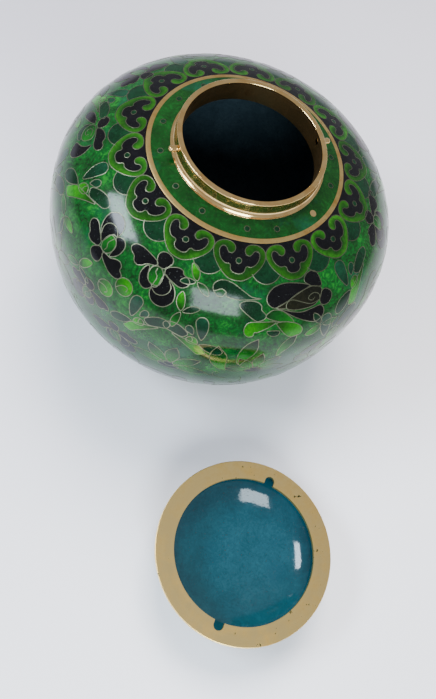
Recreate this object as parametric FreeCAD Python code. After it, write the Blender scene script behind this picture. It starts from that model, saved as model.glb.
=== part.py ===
"""Cloisonne jar with a loose bayonet lid.

A squat round jar: two spun copper bowls soldered at the belly, a brass collar with two bayonet pins,
a brass foot ring, enamel inside and out, and flat brass wires that stand on the copper and divide the
enamel into cells. The domed lid lies upside down on the table in front of the jar: a copper dome under
enamel, a flat brass ring with two notches that pass over the pins, and a turquoise lining.

Millimetres, +Z up. The origin is the centre of the foot, on the table. The lid lies on the -Y side.
"""
import FreeCAD, Part
import math
import os

Vector = FreeCAD.Vector

# ---------------------------------------------------------------- driving dimensions: jar
belly_r = 60.0            # largest radius of the jar, over the enamel
belly_z = 46.5            # height of the belly above the table
shoulder_rise = 37.8      # belly to the highest point that the shoulder curve would reach on the axis
belly_drop = 49.2         # belly to the lowest point that the lower curve would reach on the axis
squareness = 2.565        # exponent of the body curve: 2 is an ellipse, more is fuller

enamel_t = 0.8            # outer enamel
copper_t = 1.0            # spun copper
lining_t = 0.4            # enamel inside the jar and the lid

foot_h = 4.5              # foot ring, table to the copper
foot_r = 38.0             # outside of the foot ring at the table
foot_bore_r = 35.0        # inside of the foot ring
foot_round = 0.4          # rounding of the foot ring's outer edge
base_t = 1.0              # flat copper base
base_enamel_t = 0.4       # enamel under the base
base_enamel_lap = 0.6     # how far that enamel sits in the foot ring's rebate

# ---------------------------------------------------------------- driving dimensions: collar and pins
mouth_r = 22.4            # bore of the collar
lip_wall = 1.7            # thickness of the lip
lip_h = 1.2               # height of the lip's straight edge
lip_above = 4.2           # top of the lip above the shoulder curve's highest point
neck_wall = 1.1           # thickness of the neck under the lip
seat_wall = 2.8           # thickness of the collar's foot, where it meets the shoulder
collar_bead_h = 0.9       # bead round the collar's foot, above the shoulder
sleeve_wall = 1.2         # thickness of the collar's sleeve, which passes through the copper
sleeve_below = 0.2        # how far the sleeve reaches below the lining
lip_round = 0.4           # rounding of the lip's edges
seat_gap = 0.05           # soldered gap between the sleeve and the copper

pin_r = 1.0               # bayonet pins
pin_reach = 3.0           # how far a pin stands out past the lip
pin_dome = 0.5            # height of a pin's domed tip
pin_drop = 2.5            # lip's top to the pins' axis
pin_turn = 6.5            # direction of the first pin, degrees from +X towards +Y
pin_gap = 0.02            # soldered gap round a pin
pin_sunk = 0.1            # how far a pin's inner end lies behind the bore
pin_count = 2

# ---------------------------------------------------------------- driving dimensions: enamel design
shoulder_w = 7.3          # collar's foot to the outside of the brass band
band_w = 1.46             # width of that band
wire_w = 0.4              # cloison wire, seen from outside
wire_proud = 0.05         # how far the jar's wires stand above its enamel
cloud_pitch = 17.0        # room that a cloud head takes round the shoulder
cloud_step = 5.9          # brass band to a cloud head's dot, along the surface
dot_r = 1.1               # small wire circles
scallop_step = 4.3        # that dot to the centre of the arcs between the cloud heads
scallop_r = 3.3           # radius of those arcs
first_cloud = 1.0         # direction of the first cloud head, degrees from +X
first_dot = 2.5           # direction of the first shoulder dot, degrees from +X

pansy_step = 16.3         # that dot to the row of pansies and orchids under the clouds
orchid_step = 15.5        # pansies to the row of orchids at the belly
leaf_step = 13.0          # pansies to the single leaves
lotus_step = 27.0         # pansies to the row of large flowers under the belly
low_flower_step = 49.0    # pansies to the row of flowers above the foot
figure_depth = 6.0        # how deep a figure is drawn before the enamel trims it

# directions of the figures of each row, degrees from +X: set by eye, not evenly
PANSY_TURNS = (166, 209.5, 231, 286, 336, 20, 60, 98, 129)
ORCHID_TURNS = (187.5, 309, 358, 40, 79, 147.5)
LOW_ORCHID_TURNS = (222, 246, 298, 318, 10, 31, 83, 101, 155, 174)
LEAF_TURNS = (262, 280, 333, 351, 47, 64, 119, 137, 192, 208)
LOTUS_TURNS = (271, 342, 56, 128, 200)
LOW_FLOWER_TURNS = (236, 308, 20, 92, 164)

# ---------------------------------------------------------------- driving dimensions: lid
lid_apart = 23.0          # gap between the jar's belly and the lid, which lies in front of it
lid_h = 18.0              # the lid's height, table to the face of its ring
lid_rim_w = 3.45          # width of the lid's ring outside its notches
lid_squareness = 2.2      # exponent of the lid's curve
ring_t = 1.2              # lid ring
ring_clear = 0.3          # radial gap between the ring and the collar's lip
notch_clear = 0.7         # sideways gap between a notch and a pin
notch_reach = 0.15        # gap between the bottom of a notch and a pin's tip
notch_turn = 61.0         # direction of the first notch, degrees from +X
lid_step = 0.3            # how far the dome's edge stands inside the ring's edge
lining_gap = 0.15         # gap between the lid's lining and its dome, which turns round it
lid_cloud_run = 20.5      # distance of a lid cloud's dot from the lid's axis, along the dome
lid_cloud_scale = 0.72    # size of a lid cloud against a shoulder cloud

# ---------------------------------------------------------------- values that follow from them
lip_r = mouth_r + lip_wall
neck_r = mouth_r + neck_wall
sleeve_r = mouth_r + sleeve_wall
collar_foot_r = mouth_r + seat_wall
lip_z = belly_z + shoulder_rise + lip_above
band_r = collar_foot_r + shoulder_w
copper_in = enamel_t + copper_t
lining_in = copper_in + lining_t
ring_bore_r = lip_r + ring_clear
notch_half = pin_r + notch_clear
notch_end_r = lip_r + pin_reach + notch_reach
pin_z = lip_z - pin_drop
lid_r = notch_end_r + lid_rim_w
lid_y = -(belly_r + lid_apart + lid_r)
lid_edge_r = lid_r - lid_step
lid_edge_z = lid_h - ring_t
lid_copper_in = enamel_t + copper_t
lid_lining_out = lid_copper_in + lining_gap
lid_lining_in = lid_lining_out + lining_t
AXIS = Vector(0, 0, 1)
ORIGIN = Vector(0, 0, 0)
LID_AXIS = Vector(0, lid_y, 0)


# ================================================================ curves
class Bowl:
    """A round form whose outline is (r/a)^n + (h/b)^n = 1, with its own b above and below the belly.

    A point of the outline is found by its elevation: the angle, in radians, at which it is seen from
    the middle of the belly. An inset moves the outline inwards along its normal.
    """

    def __init__(self, radius, middle_z, rise, drop, power, low, high):
        self.radius, self.middle_z, self.rise, self.drop, self.power = radius, middle_z, rise, drop, power
        self.low, self.high = low, high
        self.curves = {}

    def at(self, angle, inset=0.0):
        n = self.power
        half = self.rise if angle > 0 else self.drop
        reach = (abs(math.cos(angle) / self.radius) ** n + abs(math.sin(angle) / half) ** n) ** (-1.0 / n)
        r, h = reach * math.cos(angle), reach * math.sin(angle)
        out_r = (abs(r) / self.radius) ** (n - 1) / self.radius
        out_z = math.copysign((abs(h) / half) ** (n - 1) / half, h)
        size = math.hypot(out_r, out_z)
        return r - inset * out_r / size, self.middle_z + h - inset * out_z / size, out_r / size, out_z / size

    def curve(self, inset):
        """The outline at an inset, as one spline whose parameter is the elevation."""
        if inset not in self.curves:
            steps = max(12, int((self.high - self.low) / math.radians(4)))
            angles = [self.low + (self.high - self.low) * i / steps for i in range(steps + 1)]
            points = [Vector(self.at(a, inset)[0], 0, self.at(a, inset)[1]) for a in angles]
            spline = Part.BSplineCurve()
            spline.interpolate(Points=points, Parameters=angles)
            self.curves[inset] = spline
        return self.curves[inset]

    def find(self, inset, test):
        """Elevation at which test(r, z) changes sign, by halving."""
        low, high = self.low, self.high
        sign = test(*self.at(low, inset)[:2]) > 0
        for _ in range(60):
            middle = (low + high) / 2
            if (test(*self.at(middle, inset)[:2]) > 0) == sign:
                low = middle
            else:
                high = middle
        return low

    def at_radius(self, radius, inset):
        return self.find(inset, lambda r, z: (r - radius) if z > self.middle_z else 1.0)

    def at_height(self, height, inset):
        return self.find(inset, lambda r, z: z - height)

    def edge(self, inset, start, end):
        return self.curve(inset).toShape(min(start, end), max(start, end))

    def point(self, inset, angle):
        return self.curve(inset).value(angle)

    def run_to_angle(self, run, from_top=True):
        """Elevation of the surface point at a distance along the outline from the axis."""
        step = math.radians(0.2)
        angle = math.pi / 2 if from_top else -math.pi / 2
        turn = -step if from_top else step
        left = run
        r, z = self.at(angle)[:2]
        while left > 0:
            angle += turn
            r1, z1 = self.at(angle)[:2]
            left -= math.hypot(r1 - r, z1 - z)
            r, z = r1, z1
        return angle

    def run_at(self, radius):
        """Distance along the shoulder's outline from the axis to a radius."""
        angle, run = math.pi / 2, 0.0
        r, z = self.at(angle)[:2]
        while r < radius:
            angle -= math.radians(0.05)
            r1, z1 = self.at(angle)[:2]
            run += math.hypot(r1 - r, z1 - z)
            r, z = r1, z1
        return run


def turned(edges, centre=ORIGIN):
    """Solid of revolution about the vertical line through centre, from the edges of its section."""
    section = Part.Face(Part.Wire(Part.__sortEdges__(edges)))
    solid = section.revolve(ORIGIN, AXIS, 360)
    if solid.Volume < 0:
        solid.reverse()
    solid.translate(centre)
    return solid


def line(a, b):
    return Part.LineSegment(Vector(*a), Vector(*b)).toShape()


def path(points):
    """Straight edges through (r, z) points."""
    return [line((a[0], 0, a[1]), (b[0], 0, b[1])) for a, b in zip(points, points[1:]) if a != b]


def arc(a, middle, b):
    return Part.Arc(Vector(a[0], 0, a[1]), Vector(middle[0], 0, middle[1]), Vector(b[0], 0, b[1])).toShape()


def layer(bowl, outer, inner, low, high, centre=ORIGIN):
    """Shell between two insets of a bowl; low and high give the elevation of an end at an inset."""
    ends = {inset: (low(inset), high(inset)) for inset in (outer, inner)}
    edges = [bowl.edge(inset, *ends[inset]) for inset in (outer, inner)]
    for side in (0, 1):
        a, b = (bowl.point(inset, ends[inset][side]) for inset in (outer, inner))
        edges.append(line(a, b))
    return turned(edges, centre)


body = Bowl(belly_r, belly_z, shoulder_rise, belly_drop, squareness, math.radians(-62), math.radians(68))

# distances of the ornament's rows from the jar's axis, along the surface
dot_run = (body.run_at(collar_foot_r) + body.run_at(band_r - band_w)) / 2
cloud_run = body.run_at(band_r) + cloud_step
scallop_run = cloud_run + scallop_step
pansy_run = cloud_run + pansy_step
orchid_run = pansy_run + orchid_step
leaf_run = pansy_run + leaf_step
lotus_run = pansy_run + lotus_step
low_flower_run = pansy_run + low_flower_step


def body_layer(outer, inner, low, high):
    return layer(body, outer, inner, low, high)


# ================================================================ jar
def above_foot(inset):
    return body.at_height(foot_h, inset)


def at_belly(inset):
    return body.at_height(belly_z, inset)


def out_of(radius):
    """End of a layer on the shoulder, cut straight down at a radius."""
    return lambda inset: body.at_radius(radius, inset)


def make_base_disc():
    low_r = body.at(above_foot(copper_in), copper_in)[0]
    high_r = body.at(body.at_height(foot_h + base_t, copper_in), copper_in)[0]
    top = foot_h + base_t
    return turned(path([(0, foot_h), (low_r, foot_h), (high_r, top), (0, top), (0, foot_h)]))


def make_foot_ring():
    top_r = body.at(above_foot(0), 0)[0]
    rebate_r, rebate_z = foot_bore_r + base_enamel_lap, foot_h - base_enamel_t
    corners = [(foot_bore_r, 0), (foot_r, 0), (top_r, foot_h), (rebate_r, foot_h), (rebate_r, rebate_z)]
    corners += [(foot_bore_r, rebate_z), (foot_bore_r, 0)]
    ring = turned(path(corners))
    rims = [e for e in ring.Edges if e.BoundBox.ZMax < 0.01 and e.BoundBox.XMax > foot_r - 0.1]
    return ring.makeFillet(foot_round, rims)


def make_base_enamel():
    disc = Part.makeCylinder(foot_bore_r + base_enamel_lap, base_enamel_t)
    disc.translate(Vector(0, 0, foot_h - base_enamel_t))
    return disc


def make_inner_lining():
    """Dark enamel over the whole inside of the jar, wall and floor, as one skin."""
    floor_z = foot_h + base_t
    out_low, in_low = body.at_height(floor_z, copper_in), body.at_height(floor_z + lining_t, lining_in)
    neck = sleeve_r + seat_gap
    out_high, in_high = body.at_radius(neck, copper_in), body.at_radius(neck, lining_in)
    edges = [body.edge(copper_in, out_low, out_high), body.edge(lining_in, in_low, in_high)]
    edges.append(line(body.point(copper_in, out_high), body.point(lining_in, in_high)))
    out_foot, in_foot = body.point(copper_in, out_low), body.point(lining_in, in_low)
    edges.append(line(out_foot, (0, 0, floor_z)))
    edges.append(line((0, 0, floor_z), (0, 0, floor_z + lining_t)))
    edges.append(line((0, 0, floor_z + lining_t), in_foot))
    return turned(edges)


def pin_solid(turn, start_r, grow=0.0):
    """A round pin along a radius of the collar; its tip is a shallow dome centred on the pin's axis."""
    tip_r = lip_r + pin_reach
    radius = pin_r + grow
    ball = (radius ** 2 + pin_dome ** 2) / (2 * pin_dome)
    half_way = math.asin(radius / ball) / 2
    outline = path([(0, start_r), (radius, start_r), (radius, tip_r - pin_dome)])
    middle = (ball * math.sin(half_way), tip_r - ball + ball * math.cos(half_way))
    outline.append(arc((radius, tip_r - pin_dome), middle, (0, tip_r)))
    outline += path([(0, tip_r), (0, start_r)])
    pin = turned(outline)
    pin.rotate(ORIGIN, Vector(0, 1, 0), 90)
    pin.translate(Vector(0, 0, pin_z))
    pin.rotate(ORIGIN, AXIS, turn)
    return pin


def pin_turns():
    return even_turns(pin_count, pin_turn)


def make_pin(turn):
    """The pin's inner end is filed round, a little behind the collar's bore."""
    bore = Part.makeCylinder(mouth_r + pin_sunk, lip_z)
    return pin_solid(turn, 0.8 * mouth_r).cut(bore)


def make_collar():
    """Turned brass collar: rounded lip, plain neck, flared seat for the lid, bead, and a sleeve."""
    bottom_z = body.at(body.at_radius(sleeve_r, lining_in), lining_in)[1] - sleeve_below
    top, r = lip_z, lip_round
    lip_low = top - lip_round - lip_h
    under_lip = lip_low - (lip_r - neck_r)
    foot_angle = body.at_radius(collar_foot_r, enamel_t)
    sleeve_angle = body.at_radius(sleeve_r, enamel_t)
    bead_z = body.at(body.at_radius(collar_foot_r, 0), 0)[1]
    bead_top = bead_z + collar_bead_h
    flare_z = bead_top + 1.2
    bulge = 0.3
    edges = path([(mouth_r, bottom_z), (mouth_r, top - r)])
    edges.append(arc((mouth_r, top - r), (mouth_r + 0.29 * r, top - 0.29 * r), (mouth_r + r, top)))
    edges += path([(mouth_r + r, top), (lip_r - r, top)])
    edges.append(arc((lip_r - r, top), (lip_r - 0.29 * r, top - 0.29 * r), (lip_r, top - r)))
    edges += path([(lip_r, top - r), (lip_r, lip_low), (neck_r, under_lip), (neck_r, flare_z)])
    flare_end = (collar_foot_r - bulge, bead_top)
    edges.append(arc((neck_r, flare_z), (neck_r + 0.35, bead_top + 0.35), flare_end))
    edges.append(arc(flare_end, (collar_foot_r, bead_top - 0.5), (collar_foot_r - 0.1, bead_z)))
    foot_point, sleeve_point = body.point(enamel_t, foot_angle), body.point(enamel_t, sleeve_angle)
    edges += path([(collar_foot_r - 0.1, bead_z), (foot_point.x, foot_point.z)])
    edges.append(body.edge(enamel_t, foot_angle, sleeve_angle))
    edges += path([(sleeve_point.x, sleeve_point.z), (sleeve_r, bottom_z), (mouth_r, bottom_z)])
    collar = turned(edges)
    for turn in pin_turns():
        collar = collar.cut(pin_solid(turn, 0.8 * mouth_r, pin_gap))
    return collar


# ================================================================ wires in the enamel
def loop(points):
    """Closed smooth curve through flat points."""
    spline = Part.BSplineCurve()
    spline.interpolate(Points=[Vector(x, y, 0) for x, y in points], PeriodicFlag=True)
    return spline


def ribbon(points, width=wire_w):
    """Flat band of even width along a closed smooth curve through the points."""
    spline = loop(points)
    first, last = spline.FirstParameter, spline.LastParameter
    count = 2 * len(points)
    sides = ([], [])
    for i in range(count):
        at = first + (last - first) * i / count
        place, along = spline.value(at), spline.tangent(at)[0]
        across = Vector(-along.y, along.x, 0) * (width / 2)
        sides[0].append((place.x + across.x, place.y + across.y))
        sides[1].append((place.x - across.x, place.y - across.y))
    wires = sorted((Part.Wire(loop(s).toShape()) for s in sides), key=lambda w: -w.BoundBox.DiagonalLength)
    return Part.Face(wires[0]).cut(Part.Face(wires[1]))


def circle_ribbon(x, y, radius):
    outer = Part.Face(Part.Wire(Part.makeCircle(radius + wire_w / 2, Vector(x, y, 0))))
    return outer.cut(Part.Face(Part.Wire(Part.makeCircle(radius - wire_w / 2, Vector(x, y, 0)))))


def arc_ribbon(x, y, radius, start, end):
    """Band along an arc of a circle, from start to end in degrees."""
    radii = (radius - wire_w / 2, radius + wire_w / 2)
    rims = [Part.makeCircle(r, Vector(x, y, 0), AXIS, start, end) for r in radii]
    ends = [line(rims[0].valueAt(rims[0].ParameterRange[i]), rims[1].valueAt(rims[1].ParameterRange[i]))
            for i in (0, 1)]
    return Part.Face(Part.Wire(Part.__sortEdges__(rims + ends)))


def inlaid(faces, bowl, skin, run, spin=0.0, scale=1.0, from_top=True):
    """Wires as deep as the enamel skin, standing on the +X side of a bowl.

    A flat figure is laid against the bowl at a distance along its surface, x round it and y towards
    its pole, and drawn through the enamel; what it shares with the enamel is the wire.
    """
    angle = bowl.run_to_angle(run, from_top)
    r, z, out_r, out_z = bowl.at(angle)
    out = Vector(out_r, 0, out_z)
    east = Vector(0, 1 if from_top else -1, 0)
    up = out.cross(east)
    place = FreeCAD.Matrix(east.x, up.x, out.x, r, east.y, up.y, out.y, 0, east.z, up.z, out.z, z, 0, 0, 0, 1)
    solids = []
    for face in faces:
        figure = face.copy()
        figure.scale(scale)
        figure.rotate(ORIGIN, AXIS, spin)
        figure.translate(Vector(0, 0, -figure_depth))
        block = figure.extrude(Vector(0, 0, 1.5 * figure_depth))
        solids += block.transformed(place).common(skin).Solids
    return solids


def round_axis(solids, turns, centre=ORIGIN):
    """Copies of solids turned about a vertical axis, moved with it to its centre."""
    copies = []
    for turn in turns:
        for solid in solids:
            copy = solid.copy()
            copy.rotate(ORIGIN, AXIS, turn)
            copy.translate(centre)
            copies.append(copy)
    return Part.makeCompound(copies)


def even_turns(count, first=0.0):
    return [first + 360.0 * i / count for i in range(count)]


# Right half of a cloud head, from the bottom round the outside, round the curled end and back inside.
CLOUD_HALF = [(2.3, -5.6), (3.7, -4.7), (5.0, -3.4), (6.6, -1.6), (7.7, 0.4), (7.7, 2.8), (6.3, 4.6),
              (4.4, 5.2), (2.5, 5.0), (1.4, 3.7), (1.8, 2.3), (2.9, 1.8), (3.8, 2.5), (5.0, 3.5), (6.0, 2.9),
              (6.1, 1.4), (5.2, 0.0), (3.8, -1.0), (2.7, -2.0), (1.9, -3.3)]
CLOUD = [(0, -5.9)] + CLOUD_HALF + [(0, -4.1)] + [(-x, y) for x, y in reversed(CLOUD_HALF)]


def petal(length, width, lean=0.0):
    """Rounded petal that starts at the middle of a flower and points along +Y."""
    half = width / 2
    return [(0, 0.12 * length), (half * 0.7, 0.4 * length), (half + lean, 0.72 * length),
            (half * 0.55 + lean, 0.97 * length), (-half * 0.55 + lean, 0.97 * length),
            (-half + lean, 0.72 * length), (-half * 0.7, 0.4 * length)]


def turned_points(points, degrees):
    c, s = math.cos(math.radians(degrees)), math.sin(math.radians(degrees))
    return [(x * c - y * s, x * s + y * c) for x, y in points]


def flower(petals, length, width, centre_r):
    """Faces of one flower: petals round a small circle."""
    shift = centre_r * 0.9
    faces = [circle_ribbon(0, 0, centre_r)]
    for i in range(petals):
        outline = [(x, y + shift) for x, y in petal(length, width)]
        faces.append(ribbon(turned_points(outline, 360.0 * i / petals)))
    return faces


def make_wires(skin, shoulder_skin):
    """Each kind of wire as a group of solids, cut to the enamel's own thickness."""
    cloud_r = body.at(body.run_to_angle(cloud_run))[0]
    cloud_count = int(2 * math.pi * cloud_r / cloud_pitch)
    cloud_turns = even_turns(cloud_count, first_cloud)
    gap_turns = even_turns(cloud_count, first_cloud + 180.0 / cloud_count)
    dot_turns = even_turns(cloud_count, first_dot)
    dot = [circle_ribbon(0, 0, dot_r)]
    scallop = [arc_ribbon(0, 0, scallop_r, 215, 325)]
    pansy, orchid = flower(5, 5.2, 4.4, 1.7), flower(3, 6.6, 3.6, 1.3)
    leaf = [ribbon([(0, -6), (2.4, -3), (2.6, 1), (0.6, 6), (-2.0, 2), (-2.4, -2)])]
    lotus, low_flower = flower(7, 8.0, 4.6, 2.6), flower(6, 6.0, 4.4, 2.0)
    orchids = inlaid(orchid, body, skin, pansy_run)
    low_orchids = inlaid(orchid, body, skin, orchid_run, 15)
    return {
        "shoulder_dot_wires": round_axis(inlaid(dot, body, shoulder_skin, dot_run), dot_turns),
        "cloud_wires": round_axis(inlaid([ribbon(CLOUD)], body, skin, cloud_run), cloud_turns),
        "cloud_dot_wires": round_axis(inlaid(dot, body, skin, cloud_run), cloud_turns),
        "scallop_wires": round_axis(inlaid(scallop, body, skin, scallop_run), gap_turns),
        "pansy_wires": round_axis(inlaid(pansy, body, skin, pansy_run, 10), PANSY_TURNS),
        "orchid_wires": Part.makeCompound([round_axis(orchids, ORCHID_TURNS),
                                           round_axis(low_orchids, LOW_ORCHID_TURNS)]),
        "leaf_wires": round_axis(inlaid(leaf, body, skin, leaf_run, 80), LEAF_TURNS),
        "lotus_wires": round_axis(inlaid(lotus, body, skin, lotus_run), LOTUS_TURNS),
        "low_flower_wires": round_axis(inlaid(low_flower, body, skin, low_flower_run), LOW_FLOWER_TURNS),
    }


# ================================================================ lid
lid = Bowl(lid_edge_r, lid_edge_z, lid_edge_z, lid_edge_z, lid_squareness, -math.pi / 2, math.radians(-0.02))


def lid_shell(outer, inner, centre=LID_AXIS):
    """Closed dome between two insets of the lid's curve, open at the top where the ring sits."""
    outer_end, inner_end = lid.at_height(lid_edge_z - 0.01, outer), lid.at_height(lid_edge_z - 0.01, inner)
    edges = [lid.edge(outer, lid.low, outer_end), lid.edge(inner, lid.low, inner_end)]
    edges.append(line(lid.point(outer, outer_end), lid.point(inner, inner_end)))
    edges.append(line(lid.point(outer, lid.low), lid.point(inner, lid.low)))
    return turned(edges, centre)


def make_lid_ring():
    """Flat brass ring with two round-bottomed notches that let it drop past the pins."""
    ring = Part.makeCylinder(lid_r, ring_t).cut(Part.makeCylinder(ring_bore_r, ring_t))
    rims = [e for e in ring.Edges if len(e.Vertexes) == 1 and e.Curve.Radius > ring_bore_r + 1]
    ring = ring.makeFillet(0.3, rims)
    for i in range(pin_count):
        centre_r = notch_end_r - notch_half
        slot = Part.makeBox(centre_r, 2 * notch_half, ring_t, Vector(0, -notch_half, 0))
        slot = slot.fuse(Part.makeCylinder(notch_half, ring_t, Vector(centre_r, 0, 0)))
        slot.rotate(ORIGIN, AXIS, notch_turn + 360.0 * i / pin_count)
        ring = ring.cut(slot)
    ring.translate(LID_AXIS + Vector(0, 0, lid_edge_z))
    return ring


def lid_wires(skin):
    turns = even_turns(int(2 * math.pi * lid_cloud_run / (cloud_pitch * lid_cloud_scale)))
    size = lid_cloud_scale
    cloud = inlaid([ribbon(CLOUD, wire_w / size)], lid, skin, lid_cloud_run, 0, size, False)
    dot = inlaid([circle_ribbon(0, 0, dot_r)], lid, skin, lid_cloud_run, 0, size, False)
    crown = inlaid(flower(6, 6.0, 4.6, 2.2), lid, skin, 0, 0, 1.0, False)
    return {
        "lid_cloud_wires": round_axis(cloud, turns, LID_AXIS),
        "lid_dot_wires": round_axis(dot, turns, LID_AXIS),
        "lid_crown_wires": round_axis(crown, [0], LID_AXIS),
    }


# ================================================================ assembly
def build():
    shoulder_skin = body_layer(0, enamel_t, out_of(band_r - band_w), out_of(collar_foot_r))
    body_skin = body_layer(0, enamel_t, above_foot, out_of(band_r))
    lid_skin = lid_shell(0, enamel_t)
    copper_top = out_of(sleeve_r + seat_gap)
    nodes = {
        "body_upper_shell": body_layer(enamel_t, copper_in, at_belly, copper_top),
        "body_lower_shell": body_layer(enamel_t, copper_in, above_foot, at_belly),
        "base_disc": make_base_disc(),
        "foot_ring": make_foot_ring(),
        "base_enamel": make_base_enamel(),
        "inner_lining": make_inner_lining(),
        "neck_collar": make_collar(),
        "shoulder_band": body_layer(0, enamel_t, out_of(band_r), out_of(band_r - band_w)),
        "shoulder_enamel": shoulder_skin,
        "body_enamel": body_skin,
        "lid_dome": lid_shell(enamel_t, lid_copper_in),
        "lid_enamel": lid_skin,
        "lid_lining": lid_shell(lid_lining_out, lid_lining_in),
        "lid_ring": make_lid_ring(),
    }
    wire_skin = body_layer(-wire_proud, enamel_t, above_foot, out_of(band_r))
    shoulder_wire_skin = body_layer(-wire_proud, enamel_t, out_of(band_r - band_w), out_of(collar_foot_r))
    nodes.update(make_wires(wire_skin, shoulder_wire_skin))
    nodes.update(lid_wires(lid_shell(0, enamel_t, ORIGIN)))
    for i, turn in enumerate(pin_turns()):
        nodes["bayonet_pin_%d" % (i + 1)] = make_pin(turn)
    return nodes


os.makedirs("parts", exist_ok=True)
for name, shape in build().items():
    shape.exportStep("parts/%s.step" % name)
    print("%-20s solids %4d  volume %10.2f mm3" % (name, len(shape.Solids), shape.Volume))
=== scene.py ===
# %% [markdown]
# A cloisonné jar stands open, with its bayonet lid upside down on the table in front of it.
# The jar is copper, covered with glass that was fired between thin brass wires and then ground
# smooth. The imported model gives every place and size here, and the pieces below are the
# visible skin of it: glass, wires and turned brass.

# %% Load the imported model
import math

import bmesh
import bpy
import numpy as np
from mathutils import Matrix, Vector


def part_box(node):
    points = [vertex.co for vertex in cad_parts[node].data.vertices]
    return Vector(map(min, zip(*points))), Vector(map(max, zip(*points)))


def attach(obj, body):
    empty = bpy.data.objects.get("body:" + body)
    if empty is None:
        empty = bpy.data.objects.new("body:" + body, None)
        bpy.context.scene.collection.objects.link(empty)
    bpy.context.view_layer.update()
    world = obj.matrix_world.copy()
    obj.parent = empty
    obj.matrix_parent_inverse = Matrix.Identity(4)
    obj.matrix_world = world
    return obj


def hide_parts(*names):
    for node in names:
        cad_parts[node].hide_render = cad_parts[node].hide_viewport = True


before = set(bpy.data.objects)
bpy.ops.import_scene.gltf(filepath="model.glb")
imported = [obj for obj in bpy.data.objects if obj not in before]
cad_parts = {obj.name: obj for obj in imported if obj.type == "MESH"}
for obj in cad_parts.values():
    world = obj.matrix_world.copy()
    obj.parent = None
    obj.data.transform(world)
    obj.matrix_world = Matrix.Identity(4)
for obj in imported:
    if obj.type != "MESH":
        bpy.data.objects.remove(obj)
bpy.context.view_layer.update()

# %% [markdown]
# The jar and the lid are both turned shapes, so a point on the glass has two numbers: how far it
# lies from the pole, measured along the glass like a tape, and which way it faces. Drawing the
# flowers with these two numbers keeps them undistorted on the round belly. Painting them on a
# flat picture and wrapping it would stretch them.

# %% The two skins
class Skin:
    """A bowl turned about an upright axis, measured in mm along its own surface.

    The outline is |r / widest|^power + |height / rise|^power = 1, with its own rise above and
    drop below the widest circle. Run is the length along that outline from the pole."""

    def __init__(self, axis_y, widest_r, widest_z, rise, drop, power, from_top):
        angle = np.linspace(-np.pi / 2, np.pi / 2, 6001)
        height = np.where(angle > 0, rise, drop)
        inverse = np.abs(np.cos(angle) / widest_r) ** power + np.abs(np.sin(angle) / height) ** power
        reach = inverse ** (-1 / power)
        r, z = reach * np.cos(angle), widest_z + reach * np.sin(angle)
        side = 1 if from_top else -1
        self.r, self.z = r[::-side], z[::-side]
        steps = np.hypot(np.diff(self.r), np.diff(self.z))
        self.run = np.concatenate([[0], np.cumsum(steps)])
        self.nr = -side * np.gradient(self.z, self.run)
        self.nz = side * np.gradient(self.r, self.run)
        self.axis_y = axis_y

    def outline(self, run, height=0.0):
        """Radius and z at a run, raised by height along the outward normal."""
        r, z, nr, nz = (np.interp(run, self.run, values) for values in (self.r, self.z, self.nr, self.nz))
        size = np.hypot(nr, nz)
        return r + height * nr / size, z + height * nz / size

    def points(self, run, turn, height):
        """Places of (run, turn) in mm: the outline's radius and z carried round the axis."""
        r, z = self.outline(run, height)
        return np.stack([r * np.cos(turn), r * np.sin(turn) + self.axis_y, z + 0 * turn], -1)


LID_Y = sum(corner.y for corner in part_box("lid_ring")) / 2 * 1000
LID_EDGE_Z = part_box("lid_ring")[0].z * 1000
LID_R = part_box("lid_enamel")[1].x * 1000
BELLY_R, BELLY_Z, SHOULDER_RISE, FOOT_DROP, JAR_POWER, LID_POWER = 60.0, 46.5, 37.8, 49.2, 2.565, 2.2
jar = Skin(0.0, BELLY_R, BELLY_Z, SHOULDER_RISE, FOOT_DROP, JAR_POWER, True)
lid = Skin(LID_Y, LID_R, LID_EDGE_Z, LID_EDGE_Z, LID_EDGE_Z, LID_POWER, False)
print(f"belly {BELLY_R} mm, lid {LID_R:.2f} mm, lid axis y {LID_Y:.2f}, lid edge z {LID_EDGE_Z:.2f}")

# %% [markdown]
# Every piece is a stack of closed rings. A wire's ring is its cross-section, carried along its
# path; a glass cell's ring is a strip across the cell; a turned piece's ring is its outline,
# carried round the axis. One routine can therefore join them all, and whole arrays go into the
# mesh at once.

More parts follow.
